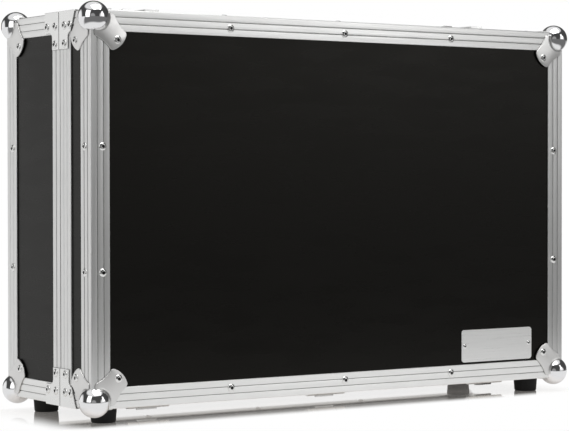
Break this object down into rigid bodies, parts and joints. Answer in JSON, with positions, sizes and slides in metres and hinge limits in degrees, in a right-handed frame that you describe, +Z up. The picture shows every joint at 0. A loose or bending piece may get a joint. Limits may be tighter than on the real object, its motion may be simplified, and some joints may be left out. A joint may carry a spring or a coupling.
{
  "type": "effect pedal board flight case",
  "caption": "Upright hard case of black laminated plywood with ribbed aluminium edges, ball corners, rubber feet, a lid hinged along its bottom edge and a foam-lined inside.",
  "frame": {"origin": "on the floor, under the middle of the closed case", "axes": "+X along the long side, +Y from the lid's face to the back panel, +Z up"},
  "size_m": [0.7008, 0.2208, 0.467],
  "materials": {
    "laminate_black": "plywood with a fine-grained black laminate, satin",
    "aluminium": "satin extruded, ribbed",
    "rivet_steel": "bright plated",
    "zinc_plate": "satin zinc plated",
    "chrome_ball": "polished",
    "black_rubber": "matt",
    "foam": "open-cell charcoal foam"
  },
  "bodies": {
    "base": {"base_back_panel": "laminate_black", "base_top_wall": "laminate_black", "base_bottom_wall": "laminate_black", "base_left_wall": "laminate_black", "base_right_wall": "laminate_black", "base_long_edge_angles": "aluminium", "base_upright_edge_angles": "aluminium", "base_depth_edge_angles": "aluminium", "base_long_tongue_rails": "aluminium", "base_upright_tongue_rails": "aluminium", "base_rivets": "rivet_steel", "base_hinge_rivets": "rivet_steel", "latch_plate_rivets": "rivet_steel", "handle_dish_rivets": "rivet_steel", "base_seam_brackets": "zinc_plate", "base_hinge_leaves": "zinc_plate", "hinge_pins": "zinc_plate", "latch_plates": "zinc_plate", "base_foot_screws": "zinc_plate", "handle_dish": "zinc_plate", "handle_rod": "zinc_plate", "base_ball_corners": "chrome_ball", "base_feet": "black_rubber", "base_foam_pad": "foam", "base_foam_walls": "foam"},
    "lid": {"lid_front_panel": "laminate_black", "lid_top_wall": "laminate_black", "lid_bottom_wall": "laminate_black", "lid_left_wall": "laminate_black", "lid_right_wall": "laminate_black", "lid_long_edge_angles": "aluminium", "lid_upright_edge_angles": "aluminium", "lid_depth_edge_angles": "aluminium", "lid_long_groove_rails": "aluminium", "lid_upright_groove_rails": "aluminium", "nameplate": "aluminium", "lid_rivets": "rivet_steel", "nameplate_rivets": "rivet_steel", "lid_hinge_rivets": "rivet_steel", "latch_catch_rivets": "rivet_steel", "lid_seam_brackets": "zinc_plate", "lid_hinge_leaves": "zinc_plate", "latch_catches": "zinc_plate", "lid_foot_screws": "zinc_plate", "lid_ball_corners": "chrome_ball", "lid_feet": "black_rubber", "lid_foam_pad": "foam", "lid_foam_walls": "foam"},
    "latch_cam_left": {"latch_cam_left": "zinc_plate"},
    "latch_hook_left": {"latch_hook_left": "zinc_plate"},
    "latch_wing_left": {"latch_wing_left": "zinc_plate"},
    "latch_cam_right": {"latch_cam_right": "zinc_plate"},
    "latch_hook_right": {"latch_hook_right": "zinc_plate"},
    "latch_wing_right": {"latch_wing_right": "zinc_plate"},
    "handle": {"handle_bail": "zinc_plate", "handle_grip": "black_rubber"}
  },
  "joints": [
    {"name": "lid_hinge", "type": "hinge", "parent": "base", "child": "lid", "pos_m": [0, -0.03, 0.0126], "axis": [1, 0, 0], "range_deg": [0, 95]},
    {"name": "handle_lift", "type": "hinge", "parent": "base", "child": "handle", "pos_m": [0, 0.00565, 0.4497], "axis": [1, 0, 0], "range_deg": [0, 90]},
    {"name": "latch_turn_left", "type": "hinge", "parent": "base", "child": "latch_cam_left", "pos_m": [-0.237, 0.002, 0.456], "axis": [0, 0, 1], "range_deg": [0, 180]},
    {"name": "latch_draw_left", "type": "slide", "parent": "base", "child": "latch_hook_left", "axis": [0, 0.9714, -0.2375], "range_m": [0, 0.00927]},
    {"name": "latch_fold_left", "type": "hinge", "parent": "latch_cam_left", "child": "latch_wing_left", "pos_m": [-0.237, 0.002, 0.4651], "axis": [1, 0, 0], "range_deg": [0, 90]},
    {"name": "latch_turn_right", "type": "hinge", "parent": "base", "child": "latch_cam_right", "pos_m": [0.237, 0.002, 0.456], "axis": [0, 0, 1], "range_deg": [0, 180]},
    {"name": "latch_draw_right", "type": "slide", "parent": "base", "child": "latch_hook_right", "axis": [0, 0.9714, -0.2375], "range_m": [0, 0.00927]},
    {"name": "latch_fold_right", "type": "hinge", "parent": "latch_cam_right", "child": "latch_wing_right", "pos_m": [0.237, 0.002, 0.4651], "axis": [1, 0, 0], "range_deg": [0, 90]}
  ],
  "couplings": [
    {"joint": "latch_draw_left", "follows": "latch_turn_left", "m_per_rad": 0.002949},
    {"joint": "latch_draw_right", "follows": "latch_turn_right", "m_per_rad": 0.002949}
  ]
}
